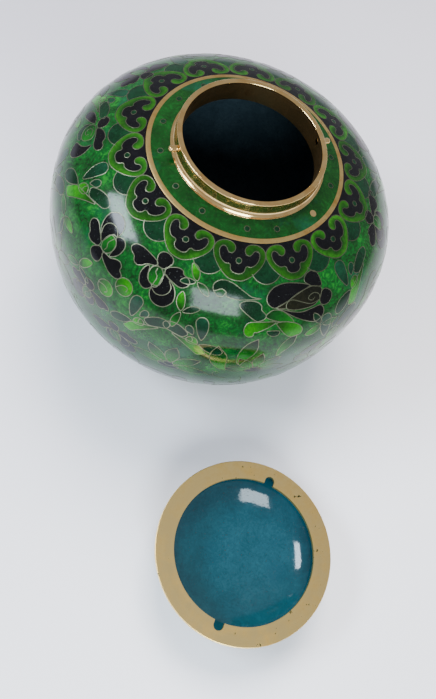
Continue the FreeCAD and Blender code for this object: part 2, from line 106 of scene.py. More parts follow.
# %% Gather rings into one mesh
class Batch:
    """Rings of points, (rings, points in a ring, 3) in mm, joined into closed shells."""

    def __init__(self):
        self.points, self.faces, self.tints, self.count = [], [], [], 0

    def add(self, grid, loop, tint=None):
        """Joins each ring to the next with quads; loop joins the last to the first, else ends are capped."""
        n, m = grid.shape[:2]
        i, j = np.arange(n if loop else n - 1)[:, None], np.arange(m)[None]
        after, beside = (i + 1) % n, (j + 1) % m
        quads = np.stack([i * m + j, i * m + beside, after * m + beside, after * m + j], -1)
        self.faces += (quads.reshape(-1, 4) + self.count).tolist()
        if not loop:
            self.faces.append([self.count + k for k in range(m)][::-1])
            self.faces.append([self.count + (n - 1) * m + k for k in range(m)])
        self.points.append(grid.reshape(-1, 3))
        if tint is not None:
            self.tints.append(np.broadcast_to(tint, grid.shape).reshape(-1, 3))
        self.count += n * m

    def piece(self, name, material, body, slot, *nodes):
        """Makes the object, rides it on its body and lets it stand for its CAD nodes."""
        mesh = bpy.data.meshes.new(name)
        mesh.from_pydata(np.concatenate(self.points) / 1000, [], self.faces)
        if self.tints:
            rgba = np.ones((self.count, 4), np.float32)
            rgba[:, :3] = np.concatenate(self.tints)
            mesh.attributes.new("tint", "FLOAT_COLOR", "POINT").data.foreach_set("color", rgba.ravel())
        shell = bmesh.new()
        shell.from_mesh(mesh)
        bmesh.ops.remove_doubles(shell, verts=shell.verts, dist=2e-6)
        bmesh.ops.recalc_face_normals(shell, faces=shell.faces)
        shell.to_mesh(mesh)
        shell.free()
        mesh.shade_smooth()
        mesh.set_sharp_from_angle(angle=math.radians(50))
        mesh.materials.append(material)
        made = bpy.data.objects.new(name, mesh)
        bpy.context.collection.objects.link(made)
        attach(made, body)
        if nodes:
            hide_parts(*nodes)
        print(name, len(mesh.polygons), "faces")
        return made


def turned(profile, axis_y=0.0, segments=360):
    """A closed outline of (r, z) points carried round an upright axis: x = r cos t, y = r sin t."""
    turn = np.linspace(0, 2 * np.pi, segments, endpoint=False)[:, None]
    r, z = np.asarray(profile, float).T[:, None]
    return np.stack([r * np.cos(turn), r * np.sin(turn) + axis_y, z + 0 * turn], -1)


def layer(skin, start, end, top, bottom, step=0.8):
    """Closed outline of a coat on a skin between two runs: its top forward, its bottom back."""
    runs = np.linspace(start, end, max(3, round((end - start) / step)))
    back = np.linspace(end, start, max(3, len(runs) // 4))
    return np.concatenate([np.stack(skin.outline(runs, top), -1), np.stack(skin.outline(back, bottom), -1)])


# %% [markdown]
# A colour is easiest to name as a screen colour from 0 to 255, and the shader wants it linear.

# %% Colours
def linear(*screen):
    """Screen colour 0..255 to linear light: ((c + 0.055) / 1.055) ^ 2.4 above the dark toe."""
    c = np.asarray(screen, float) / 255
    return np.where(c > 0.04045, ((c + 0.055) / 1.055) ** 2.4, c / 12.92)


def rgba(*screen):
    """The same colour as the four numbers that a socket takes."""
    return (*linear(*screen), 1.0)


print("middle grey is", round(rgba(128, 128, 128)[0], 3), "in linear light")


# %% [markdown]
# Shaders are wired by two small helpers: one adds a node and fills its sockets, the other mixes
# two colours. A socket takes either a plain value or another node's output.

# %% Shader helpers
def put(tree, kind, settings=(), **sockets):
    """Adds a node; settings are its own options, sockets are plain values or outputs to link."""
    made = tree.nodes.new("ShaderNode" + kind)
    for key, value in dict(settings).items():
        setattr(made, key, value)
    for key, value in sockets.items():
        socket = made.inputs[int(key[1:]) if key[1:].isdigit() else key.replace("_", " ")]
        if isinstance(value, bpy.types.NodeSocket):
            tree.links.new(value, socket)
        else:
            socket.default_value = value
    return made


def mix(tree, factor, one, two, way="MIX"):
    """Mixes two colours: one where factor is 0, two where it is 1."""
    made = put(tree, "Mix", {"data_type": "RGBA", "blend_type": way}, i0=factor, i6=one, i7=two)
    return made.outputs[2]


def calc(tree, operation, one, two=0.0):
    """One sum on two numbers or maps."""
    return put(tree, "Math", {"operation": operation}, i0=one, i1=two).outputs[0]


def noise(tree, where, scale, detail=3.0, roughness=0.55):
    """Soft cloud of values around 0.5; scale is in features per metre."""
    made = put(tree, "TexNoise", Vector=where, Scale=scale, Detail=detail, Roughness=roughness)
    return made.outputs[0]


def ramp(tree, value, low, high, to_low=0.0, to_high=1.0):
    """Stretches value from low..high to to_low..to_high, held at both ends."""
    made = put(tree, "MapRange", Value=value, From_Min=low, From_Max=high, To_Min=to_low, To_Max=to_high)
    return made.outputs[0]


def group(name, ins, outs):
    """A node group with named sockets; returns it with its input and output nodes."""
    tree = bpy.data.node_groups.new(name, "ShaderNodeTree")
    for title, kind in ins.items():
        tree.interface.new_socket(title, in_out="INPUT", socket_type="NodeSocket" + kind)
    for title, kind in outs.items():
        tree.interface.new_socket(title, in_out="OUTPUT", socket_type="NodeSocket" + kind)
    return tree, tree.nodes.new("NodeGroupInput").outputs, tree.nodes.new("NodeGroupOutput").inputs


def use(tree, shared, **sockets):
    """Places a group in a material with its own values."""
    return put(tree, "Group", {"node_tree": shared}, **sockets).outputs


# %% [markdown]
# Fired enamel isn't one even colour. It is ground glass, laid in wet and melted, so it keeps
# grains about half a millimetre across and pinholes where gas escaped. It also gets wide clouds of
# the Cloud colour. These are laid at random, like real mottling, but the green ground's Cloud colour
# is a teal that is painted reflection haze: the teal glow of light seen round the highlights. The
# grains come from one noise, the clouds from a wide one, and the pinholes from the peaks of a fine
# one, which also sink the surface a little.

# %% Glass group
glass_group, gin, gout = group(
    "fired_glass",
    {"Deep": "Color", "Mid": "Color", "Bright": "Color", "Cloud": "Color"},
    {"Color": "Color", "Roughness": "Float", "Height": "Float"})
tree = glass_group
place = put(tree, "TexCoord").outputs["Object"]
warp = put(tree, "TexNoise", Vector=place, Scale=140.0, Detail=2.0).outputs[1]
bent = put(tree, "Mix", {"data_type": "VECTOR"}, i0=0.006, i4=place, i5=warp).outputs[1]
grain = noise(tree, bent, 1050.0, 5.0, 0.68)
drift = noise(tree, bent, 150.0, 3.0, 0.55)
cloudy = noise(tree, place, 62.0, 4.0, 0.6)
spread = ramp(tree, drift, 0.3, 0.7, -0.35, 0.35)
level = calc(tree, "ADD", ramp(tree, grain, 0.3, 0.7), spread)
body_colour = mix(tree, ramp(tree, level, 0.05, 0.55), gin["Deep"], gin["Mid"])
flecked = mix(tree, ramp(tree, level, 0.6, 1.05, 0.0, 0.85), body_colour, gin["Bright"])
# painted reflection haze: random wide clouds mixed toward the Cloud colour, which stands for the teal light
# round the highlights
clouds_and_painted_haze = mix(tree, ramp(tree, cloudy, 0.56, 0.72, 0.0, 0.55), flecked, gin["Cloud"])
pits = ramp(tree, noise(tree, place, 1900.0, 1.0, 0.4), 0.71, 0.76)
pitted = mix(tree, calc(tree, "MULTIPLY", pits, 0.75), clouds_and_painted_haze, rgba(14, 22, 14))
tree.links.new(pitted, gout["Color"])
tree.links.new(ramp(tree, pits, 0.0, 1.0, 0.0, 0.35), gout["Roughness"])
waves = noise(tree, place, 260.0, 2.0, 0.5)
sunk = calc(tree, "MULTIPLY", pits, 0.6)
tree.links.new(calc(tree, "SUBTRACT", waves, sunk), gout["Height"])
print("glass group:", len(glass_group.nodes), "nodes")

# %% [markdown]
# The glass materials differ in their colours and polish. Ground and polished glass is a clear
# gloss over colour, so the shader is a plain dielectric with low roughness. The lid's bowl was
# never ground, so it also has a clear coat and a wavier surface.

# %% Glass materials
def surface(name):
    """An empty material with its own Principled shader."""
    made = bpy.data.materials.new(name)
    made.use_nodes = True
    return made, made.node_tree, made.node_tree.nodes["Principled BSDF"]


def glass(name, deep, mid, bright, cloud, rough=0.12, coat=0.0, bump=0.00006):
    """Fired glass of four colours, glossy, with the group's grain and pinholes."""
    made, tree, shader = surface(name)
    out = use(tree, glass_group, Deep=rgba(*deep), Mid=rgba(*mid), Bright=rgba(*bright), Cloud=rgba(*cloud))
    return coated(made, tree, shader, out, rough, coat, bump)


def coated(made, tree, shader, out, rough, coat, bump):
    """Finishes a glass material: roughness rises in the pinholes, and the waves bend the gloss."""
    tree.links.new(out["Color"], shader.inputs["Base Color"])
    tree.links.new(calc(tree, "ADD", out["Roughness"], rough), shader.inputs["Roughness"])
    shader.inputs["Coat Weight"].default_value = coat
    shader.inputs["Coat Roughness"].default_value = 0.06
    shader.inputs["IOR"].default_value = 1.31
    relief = put(tree, "Bump", Strength=0.6, Distance=bump, Height=out["Height"])
    tree.links.new(relief.outputs[0], shader.inputs["Normal"])
    return made


# ground glass: its fourth colour, the teal Cloud, is painted reflection haze
ground_glass = glass("ground_glass", (4, 33, 10), (10, 62, 19), (24, 104, 30), (14, 76, 52))
shoulder_glass = glass("shoulder_glass", (6, 38, 10), (10, 50, 14), (18, 70, 22), (12, 64, 50))
lid_glass = glass("lid_bowl_glass", (17, 56, 66), (21, 63, 74), (26, 71, 82), (18, 57, 70), 0.1, 0.3, 0.0002)
base_glass = glass("base_glass", (10, 84, 100), (18, 106, 122), (30, 126, 138), (14, 90, 104), 0.28)
dark_glass = glass("inside_glass", (42, 56, 64), (50, 66, 74), (60, 76, 84), (38, 52, 62), 0.45, 0.0)
dark_glass.node_tree.nodes["Principled BSDF"].inputs["Specular IOR Level"].default_value = 0.2
print("five glass materials")

# %% [markdown]
# The figures' glass was laid cell by cell, often with one colour at the root of a leaf and
# another at its tip. Each cell carries its colour as an attribute, shaded from root to tip, and
# the same group adds grain, clouds and pinholes around it.

# %% Figure glass
figure_glass, tree, shader = surface("figure_glass")
tint = put(tree, "Attribute", {"attribute_name": "tint"}).outputs["Color"]
# the bluer Cloud colour of the figures is painted reflection haze as well
grain_out = use(
    tree, glass_group, Mid=tint,
    Deep=mix(tree, 1.0, tint, (0.55, 0.6, 0.55, 1), "MULTIPLY"),
    Bright=mix(tree, 1.0, tint, (1.7, 1.5, 1.5, 1), "MULTIPLY"),
    Cloud=mix(tree, 1.0, tint, (0.9, 1.15, 1.3, 1), "MULTIPLY"))
coated(figure_glass, tree, shader, grain_out, 0.12, 0.0, 0.00006)
print("figure glass reads the attribute tint")

# %% [markdown]
# The collar, the pins, the band and the lid's ring are turned brass. Turning leaves fine rings
# round the axis; handling leaves duller, browner patches and small dark pits. The rings are a
# noise read at (radius, height) only, so it can't change round the axis.

# %% Brass group
brass_group, gin, gout = group(
    "turned_brass",
    {"Bright": "Color", "Dull": "Color", "Pit": "Color", "Pitting": "Float", "Axis": "Vector"},
    {"Color": "Color", "Roughness": "Float", "Height": "Float"})
tree = brass_group
place = put(tree, "TexCoord").outputs["Object"]
off_axis = put(tree, "VectorMath", {"operation": "SUBTRACT"}, i0=place, i1=gin["Axis"]).outputs[0]
parts = put(tree, "SeparateXYZ", Vector=off_axis).outputs
flat = put(tree, "CombineXYZ", X=parts[0], Y=parts[1], Z=0.0).outputs[0]
radius = put(tree, "VectorMath", {"operation": "LENGTH"}, i0=flat).outputs[1]
rings_at = put(tree, "CombineXYZ", X=radius, Y=0.0, Z=parts[2]).outputs[0]
rings = noise(tree, rings_at, 4200.0, 3.0, 0.6)
stain = noise(tree, place, 190.0, 5.0, 0.62)
worn = ramp(tree, stain, 0.42, 0.7)
dots = ramp(tree, noise(tree, place, 520.0, 3.0, 0.6), 0.675, 0.7)
dots = calc(tree, "MULTIPLY", dots, gin["Pitting"])
metal = mix(tree, worn, gin["Bright"], gin["Dull"])
lined = mix(tree, ramp(tree, rings, 0.35, 0.65, 0.0, 0.16), metal, gin["Dull"])
tree.links.new(mix(tree, dots, lined, gin["Pit"]), gout["Color"])
ringed = ramp(tree, rings, 0.3, 0.7, 0.0, 0.08)
rough = calc(tree, "ADD", ringed, calc(tree, "MULTIPLY", worn, 0.12))
dull = calc(tree, "ADD", rough, calc(tree, "MULTIPLY", dots, 0.35))
tree.links.new(dull, gout["Roughness"])
ridge, dip = calc(tree, "MULTIPLY", rings, 0.2), calc(tree, "MULTIPLY", dots, 0.9)
tree.links.new(calc(tree, "SUBTRACT", ridge, dip), gout["Height"])
print("brass group:", len(brass_group.nodes), "nodes")


# %% Metal materials
def metal_finish(name, bright, dull, pit=(60, 52, 30), pitting=0.0, rough=0.16, axis=(0, 0, 0), bump=0.00006):
    """Turned metal: colours and pitting of its own, the group's rings and stains."""
    made, tree, shader = surface(name)
    colours = {"Bright": rgba(*bright), "Dull": rgba(*dull), "Pit": rgba(*pit)}
    out = use(tree, brass_group, Pitting=pitting, Axis=axis, **colours)
    tree.links.new(out["Color"], shader.inputs["Base Color"])
    tree.links.new(calc(tree, "ADD", out["Roughness"], rough), shader.inputs["Roughness"])
    shader.inputs["Metallic"].default_value = 1.0
    relief = put(tree, "Bump", Strength=0.5, Distance=bump, Height=out["Height"])
    tree.links.new(relief.outputs[0], shader.inputs["Normal"])
    return made


LID_AXIS = (0, LID_Y / 1000, 0)
collar_brass = metal_finish("collar_brass", (238, 204, 140), (212, 168, 100), rough=0.07, bump=0.00001)
# painted shade: the bore's darker brown colours stand for the shade inside the mouth; its higher roughness is
# the real satin finish
bore_brass_painted_shade = metal_finish("bore_brass_painted_shade", (196, 160, 106), (124, 94, 58), rough=0.3)
band_brass = metal_finish("band_brass", (236, 204, 132), (204, 158, 86), (70, 52, 34), 0.4, 0.26)
ring_brass = metal_finish(
    "lid_ring_brass", (255, 222, 144), (240, 198, 112), (60, 64, 38), 1.0, 0.3, LID_AXIS)
wire_brass = metal_finish("wire_brass", (116, 118, 96), (80, 82, 64), rough=0.34)
foot_brass = metal_finish("foot_brass", (198, 162, 100), (150, 116, 66), (60, 52, 30), 0.5, 0.3)
copper = metal_finish("spun_copper", (190, 110, 78), (132, 72, 50), (70, 40, 30), 0.5, 0.32)
print(len(bpy.data.materials), "materials so far")

# %% [markdown]
# The hidden copper bowls, the base, the foot, the inner lining and the lid's ring keep the packed
# model's own shape, and only get their finish here.

# %% Dress the kept CAD nodes
KEPT = {
    "body_upper_shell": copper, "body_lower_shell": copper, "base_disc": copper, "lid_dome": copper,
    "foot_ring": foot_brass, "base_enamel": base_glass, "inner_lining": dark_glass, "lid_ring": ring_brass,
}
for node_name, finish in KEPT.items():
    node_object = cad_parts[node_name]
    if not node_object.material_slots:
        node_object.data.materials.append(finish)
    for holder in node_object.material_slots:
        holder.material = finish
print("dressed", len(KEPT), "kept nodes")

# %% [markdown]
# The ground of the jar is one coat of green glass from the brass band to the foot. On the real
# jar the coat stops at every wire. Here it runs on beneath them as one turned shell, a little
# lower than the wires' tops, and the figures' own glass lies between the two. That gives the
# same picture with no cracks between cells.

# %% Turned glass
GROUND, UNDER, CELL = -0.06, -0.04, -0.018     # heights under the wires' tops, mm
BAND_IN, BAND_OUT, FOOT_RUN = 31.3, 32.8, 131.2
coat = Batch()
coat.add(turned(layer(jar, BAND_OUT - 0.2, FOOT_RUN, GROUND, -0.78), segments=480), True)
coat.piece("belly_glass", ground_glass, "jar", "green_enamel", "body_enamel")
coat = Batch()
coat.add(turned(layer(jar, 25.0, BAND_IN + 0.2, GROUND, -0.78, 0.5)), True)
coat.piece("shoulder_glass_ring", shoulder_glass, "jar", "green_enamel", "shoulder_enamel")
coat = Batch()
lid_coat = layer(lid, 0.02, np.interp(LID_R - 0.02, lid.r[:3000], lid.run[:3000]), -0.06, -0.78, 0.5)
coat.add(turned(lid_coat, LID_Y), True)
coat.piece("lid_outer_glass", ground_glass, "lid", "green_enamel", "lid_enamel")

# %% [markdown]
# The lid's lining is a thin turquoise bowl. It is what the lid shows as it lies face down, so it
# is a fine turned shell of its own.

# %% Lid lining
LINING_TOP, LINING_BACK = -2.35, -1.97
edge_run = lid.run[:3001][np.searchsorted(lid.z[:3001], LID_EDGE_Z - 1.2)]
bowl_runs = np.linspace(0.02, edge_run, 64)
inside = np.stack(lid.outline(bowl_runs, LINING_TOP), -1)
inside = np.concatenate([inside, [[inside[-1, 0] + 0.02, LID_EDGE_Z - 0.03]]])
outside = np.stack(lid.outline(bowl_runs[::-3], LINING_BACK), -1)
outside = np.concatenate([[[outside[0, 0] + 0.02, LID_EDGE_Z - 0.03]], outside])
bowl = Batch()
bowl.add(turned(np.maximum(np.concatenate([inside, outside]), [0.0, 0.0]), LID_Y), True)
bowl.piece("lid_bowl", lid_glass, "lid_inner", "turquoise_enamel", "lid_lining")

# %% [markdown]
# The collar is turned from a brass tube: a flat rounded lip, a fine line cut under it, a neck
# that flares at its foot, and a bead where it sits on the glass. Its outline is a list of radii
# and heights, with every corner eased so that it catches a thin line of light. Inside the mouth
# the brass is left satin, rougher than outside, and its darker brown colour is painted shade of
# the mouth, so those faces get a material of their own.

# %% Collar outline
def eased(corners, ease, steps=5):
    """Rounds each corner with a curve from ease before it to ease after it: a quadratic blend
    (1-t)^2 a + 2t(1-t) corner + t^2 b."""
    here = np.asarray(corners, float)
    before, after = np.roll(here, 1, 0) - here, np.roll(here, -1, 0) - here
    ease = np.broadcast_to(np.asarray(ease, float), len(here))[:, None]
    reach_in = np.minimum(ease, 0.45 * np.linalg.norm(before, axis=1, keepdims=True))
    reach_out = np.minimum(ease, 0.45 * np.linalg.norm(after, axis=1, keepdims=True))
    a = here + before / np.linalg.norm(before, axis=1, keepdims=True) * reach_in
    b = here + after / np.linalg.norm(after, axis=1, keepdims=True) * reach_out
    t = np.linspace(0, 1, steps)[:, None, None]
    return ((1 - t) ** 2 * a + 2 * t * (1 - t) * here + t ** 2 * b).transpose(1, 0, 2).reshape(-1, 2)


LIP_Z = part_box("neck_collar")[1].z * 1000
MOUTH_R, LIP_R, NECK_R, SEAT_R = 22.4, 24.1, 23.5, 25.2
fall = np.linspace(0, 1, 12)
neck = list(zip(NECK_R + 0.5 * fall + 0.8 * fall ** 6, LIP_Z - 1.6 - 4.0 * fall))
collar_outline = eased(
    [(MOUTH_R, LIP_Z - 7.7), (MOUTH_R, LIP_Z), (LIP_R, LIP_Z), (LIP_R, LIP_Z - 1.15),
     (LIP_R - 0.28, LIP_Z - 1.25), (LIP_R - 0.28, LIP_Z - 1.4), (NECK_R + 0.1, LIP_Z - 1.5), *neck,
     (SEAT_R, LIP_Z - 5.62), (SEAT_R, LIP_Z - 6.5), (SEAT_R - 1.2, LIP_Z - 6.9)],
    [0.2, 0.4, 0.4, 0.12, 0.05, 0.05, 0.05] + [0.1] * 12 + [0.12, 0.1, 0.1])
collar = Batch()
collar.add(turned(collar_outline), True)
collar_piece = collar.piece("collar", collar_brass, "jar", "brass", "neck_collar")
collar_piece.data.materials.append(bore_brass_painted_shade)
middles = np.zeros(3 * len(collar_piece.data.polygons))
collar_piece.data.polygons.foreach_get("center", middles)
middles = middles.reshape(-1, 3) * 1000
# the faces inside the mouth take the brass whose darker brown colour is painted shade
bore_faces_painted_shade = (np.hypot(middles[:, 0], middles[:, 1]) < MOUTH_R + 0.01) & (middles[:, 2] < LIP_Z - 0.35)
collar_piece.data.polygons.foreach_set("material_index", bore_faces_painted_shade.astype(np.int32))
print(int(bore_faces_painted_shade.sum()), "faces of the collar are the satin bore")

# %% [markdown]
# The flat band is a brass strip laid in the glass; polishing eased its edges down.

# %% Shoulder band
band_runs = np.linspace(BAND_IN, BAND_OUT, 9)
band_crown = -0.05 * (2 * (band_runs - BAND_IN) / (BAND_OUT - BAND_IN) - 1) ** 4
band_top = np.stack(jar.outline(band_runs, band_crown), -1)
band_low = np.stack(jar.outline(band_runs[[-1, 0]], -0.75), -1)
band = Batch()
band.add(turned(np.concatenate([band_top, band_low])), True)
band.piece("gold_band", band_brass, "jar", "brass", "shoulder_band")

# %% [markdown]
# Two pins go through the collar. Each has a domed outer end with a small centre mark from the
# lathe, and a riveted tail that shows flush inside the mouth. A pin is an outline turned about
# its own axis, then laid along a radius of the jar.

# %% Pins
PIN_Z, PIN_R, PIN_TIP, PIN_TURNS = LIP_Z - 2.5, 1.0, 26.9, (6.5, 186.5)
tail = np.array([(0.0, 22.18), (0.55, 22.2), (0.86, 22.27), (1.12, 22.46), (1.0, 22.7)])
tip = np.array([(1.0, 26.25), (0.94, 26.5), (0.76, 26.74), (0.5, 26.87),
                (0.3, PIN_TIP), (0.2, 26.84), (0.14, 26.68), (0.0, 26.62)])
shank = np.stack([np.full(4, PIN_R), np.linspace(23.4, 25.4, 4)], -1)
pin_outline = np.concatenate([tail, shank, tip])
spin = np.linspace(0, 2 * np.pi, 32, endpoint=False)
for number, degrees in enumerate(PIN_TURNS, 1):
    turn = math.radians(degrees)
    across, along = pin_outline[:, None, 0], pin_outline[:, None, 1]
    side, up = across * np.cos(spin), across * np.sin(spin)
    c, s = math.cos(turn), math.sin(turn)
    pin = Batch()
    pin.add(np.stack([along * c - side * s, along * s + side * c, PIN_Z + up], -1), False)
    pin.piece(f"pin_{number}", collar_brass, "jar", "brass", f"bayonet_pin_{number}")

# %% [markdown]
# A cloisonné figure starts as a drawing. The wire is bent along it, and glass fills the cells.
# Each figure below is a set of outlines in mm, x round the jar and y up towards the neck, with
# the glass that fills it. A smooth curve goes through the points, as a bent wire does.

# %% Curves through points
def smooth(points, closed=True, per_span=8):
    """Catmull-Rom curve: from point to point, a cubic whose slope at each is half the step between
    the point's two neighbours."""
    p = np.asarray(points, float)
    if closed:
        back, ahead, far = np.roll(p, 1, 0), np.roll(p, -1, 0), np.roll(p, -2, 0)
    else:
        back, ahead, far = np.r_[p[:1], p[:-2]], p[1:], np.r_[p[2:], p[-1:]]
        p = p[:-1]
    t = np.linspace(0, 1, per_span, endpoint=False)[:, None, None]
    cubic = 3 * p - back - 3 * ahead + far
    square = 2 * back - 5 * p + 4 * ahead - far
    curve = 0.5 * (2 * p + (ahead - back) * t + square * t ** 2 + cubic * t ** 3)
    curve = curve.transpose(1, 0, 2).reshape(-1, 2)
    return curve if closed else np.r_[curve, ahead[-1:]]


def evenly(curve, count=None, step=0.55):
    """The same curve with its points a fixed length apart."""
    along = np.concatenate([[0], np.cumsum(np.linalg.norm(np.diff(curve, axis=0), axis=1))])
    marks = np.linspace(0, along[-1], count or max(5, round(along[-1] / step)))
    return np.stack([np.interp(marks, along, curve[:, k]) for k in (0, 1)], -1)


print("four points make a curve of", len(smooth([(1, 0), (0, 1), (-1, 0), (0, -1)])))


# %% [markdown]
# To lay a drawing on the jar, its y shortens the run from the pole, and its x becomes a turn by
# the circle's own radius there. The lid's drawing sits round the pole itself, where that radius
# is nothing, so there the drawing is laid like a disc: distance from the pole is the run.

# %% Lay a drawing on a skin
class Spot:
    """Where a figure sits on a skin: run and turn of its middle, its spin and size."""

    def __init__(self, skin, run, turn, spin=0.0, size=1.0, flip=1):
        self.skin, self.run, self.turn, self.size, self.flip = skin, run, math.radians(turn), size, flip
        self.cos, self.sin = math.cos(math.radians(spin)), math.sin(math.radians(spin))

    def place(self, xy):
        """Run and turn of drawn points, after size, flip and spin."""
        x, y = self.size * self.flip * xy[..., 0], self.size * xy[..., 1]
        x, y = x * self.cos - y * self.sin, x * self.sin + y * self.cos
        if self.skin is lid:
            out = self.run - y
            return np.hypot(out, x), self.turn + np.arctan2(x, out)
        run = self.run - y
        return run, self.turn + x / self.skin.outline(run)[0]

    def on(self, xy, height):
        """Places in mm of drawn points at a height over the skin."""
        run, turn = self.place(xy)
        return self.skin.points(run, turn, height)


print("80 mm down the front of the jar is at", Spot(jar, 80, 270).on(np.zeros(2), 0).round(1))


# %% [markdown]
# The wire is a flat strip stood on edge, and polishing rounds its top. Its section has six
# corners. Across the wire is the direction square to both the path and the glass.

# %% A wire along a path
WIRE_W, WIRE_DEEP = 0.28, 0.3


def wire(batch, spot, path, closed, width=WIRE_W, top=0.0):
    """Carries the section along the path: point = centre + across * x + outward * height."""
    if closed:
        path = evenly(np.r_[path, path[:1]])[:-1]
        step = np.roll(path, -1, 0) - np.roll(path, 1, 0)
    else:
        path = evenly(path)
        step = np.gradient(path, axis=0)
    step /= np.linalg.norm(step, axis=1, keepdims=True) + 1e-9
    across = np.stack([-step[:, 1], step[:, 0]], -1)
    half = [(0.3, 0), (0.5, -0.02), (0.5, -WIRE_DEEP)]
    section = np.array([(-x, y) for x, y in half[::-1]] + half)
    flat_points = path[:, None] + across[:, None] * section[None, :, :1] * width / spot.size
    batch.add(spot.on(flat_points, top + section[None, :, 1]), closed)


print("wire", WIRE_W, "mm wide")


# %% [markdown]
# A cell is a strip between the two sides of its outline. Its root and tip are the two points of
# the outline that lie farthest apart, and straight rules join the sides from one to the other,
# bent to the jar. Its colour runs from root to tip, and its edge turns down under the wire.

# %% A glass cell inside an outline
def sides(outline, count=22):
    """Splits a closed outline at its two farthest points; the root is the one nearer the figure's middle."""
    gap = np.linalg.norm(outline[:, None] - outline[None], axis=2)
    i, j = sorted(np.unravel_index(gap.argmax(), gap.shape))
    one, two = outline[i:j + 1], np.concatenate([outline[j:], outline[:i + 1]])[::-1]
    if np.hypot(*outline[i]) > np.hypot(*outline[j]):
        one, two = one[::-1], two[::-1]
    return evenly(one, count), evenly(two, count)


def cell(batch, spot, one, two, root, tip, height=CELL, rules=6, across=False):
    """Ruled strip (1-v) one + v two between two sides; its colour goes from root to tip along it,
    or across it."""
    u, v = np.linspace(0, 1, len(one))[:, None], np.linspace(0, 1, rules)[None]
    flat_points = one[:, None] * (1 - v[..., None]) + two[:, None] * v[..., None]
    flat_points = np.concatenate([flat_points[:, :1], flat_points, flat_points[:, -1:]], 1)
    heights = np.full(rules + 2, height)
    heights[[0, -1]] = height - 0.2
    fade = np.concatenate([v[:, :1], v, v[:, -1:]], 1) + 0 * u if across else u + 0 * heights[None]
    fade = (fade * fade * (3 - 2 * fade))[..., None]
    batch.add(spot.on(flat_points, heights[None]), False, root + (tip - root) * fade)


GLASS = {
    "black": (linear(5, 5, 6), linear(8, 8, 10)),
    "heart": (linear(7, 7, 9), linear(10, 10, 13)),
    "leaf": (linear(12, 40, 6), linear(32, 120, 10)),
    "green": (linear(5, 36, 10), linear(14, 84, 16)),
    "dark": (linear(3, 28, 12), linear(5, 42, 20)),
    "teal": (linear(5, 34, 18), linear(9, 52, 32)),
    "fade": (linear(22, 100, 10), linear(8, 9, 9)),
    "olive": (linear(12, 13, 7), linear(22, 22, 10)),
}
print("glass colours:", sorted(GLASS))

# %% [markdown]
# The figures: pansies and a magnolia with near-black petals, orchids in dark green, paired
# leaves, pointed leaves that fade to black, and a lotus fan.

# %% Figures with black petals
PANSY = {
    "cells": [
        ("black", [(-1.2, 2.9), (-2.6, 5.1), (-2.3, 6.8), (-0.6, 7.6), (1.5, 7.1), (2.3, 5.7), (1.6, 3.9),
            (0.7, 2.9)]),
        ("black", [(1.5, 3.5), (2.3, 4.4), (4.2, 5.5), (6, 5.5), (6.8, 4.5), (8.4, 4.1), (9.7, 2.9),
            (9.4, 1.4), (7.7, 0.5), (4.7, 1.1), (2, 1.9)]),
        ("black", [(-1.5, 3.5), (-3.7, 4.2), (-7.5, 4.5), (-10.1, 3.7), (-11.1, 2.1), (-10.2, 1.1),
            (-8.8, 0.7), (-8.2, -0.4), (-6.7, -0.9), (-5.2, 0), (-4, 1.4), (-1.7, 2.4)]),
        ("black", [(-3.2, 1.4), (-4.2, 0.2), (-4.5, -2.1), (-3.5, -4.5), (-1.7, -5.4), (-0.2, -4.8),
            (0.5, -3.3), (-1.2, -2.5), (-2.3, -0.8)]),
        ("black", [(2, 1.7), (4.2, 1), (6.3, -0.2), (7.9, -2.4), (8.3, -4.8), (6.8, -7.2), (4.3, -7.9),
            (2.1, -7.1), (0.9, -5.6), (0.6, -3.7), (2, -2.6)]),
        ("green", [(0, 2.8), (-2, 2), (-2.5, -0.2), (-1.7, -2.1), (0.2, -2.9), (2, -2.3), (2.3, -0.4),
            (1.6, 1.6)]),
    ],
    "wires": [
        [(4.2, 0.7), (5.7, -0.8), (5.8, -2.7), (4.5, -4.3), (2.5, -4.7), (0.8, -3.9)],
        [(-0.7, 2.1), (-0.6, 0.8), (0.5, -0.2), (0.5, -2.7)],
    ],
}
MAGNOLIA = {
    "cells": [
        ("black", [(-10.4, -0.3), (-12.1, 1.2), (-11.9, 3.5), (-9.4, 6), (-5.4, 7), (-1, 6.2), (2.7, 4.7),
            (2, 4.1), (-2, 3.1), (-5.9, 1.2), (-8.4, 0.1)]),
        ("black", [(2.7, 4.7), (1.2, 6.2), (2, 8), (4, 8.7), (5.9, 7.8), (6.9, 5.5), (6.9, 3.1),
            (3.5, 4.1)]),
        ("black", [(6.9, 1.2), (8.4, 1.6), (10.4, 0), (10.6, -2), (8.9, -3.5), (6.4, -2.9), (5.9, -0.8)]),
        ("black", [(5.9, -2.9), (7.2, -4.7), (6.7, -7), (4, -8), (0.5, -6.6), (-3.5, -4.3), (-7.4, -1.6),
            (-9.4, -0.4), (-4.9, -2.1), (-1, -3.1), (3, -2.9)]),
        ("olive", [(-9.6, -0.4), (-5.9, 1.2), (-2, 2.9), (2, 4), (4.9, 3.7), (6.9, 2.3), (6.7, 0.8),
            (5.9, -0.8), (4.9, -1.4), (2.5, -2.2), (-3.5, -1.9), (-6.6, -0.9)]),
    ],
    "wires": [
        [(5.9, -0.8), (5.7, 0.8), (4, 1.8), (2.2, 1.4), (1.7, 0.4), (3, -0.3), (4, 0.3)],
        [(-5.4, -1.9), (-6.3, -0.4), (-5.4, 1.2), (-3.5, 1.4), (-0.5, 0), (2.5, -1.3), (5.4, -1.0)],
    ],
}
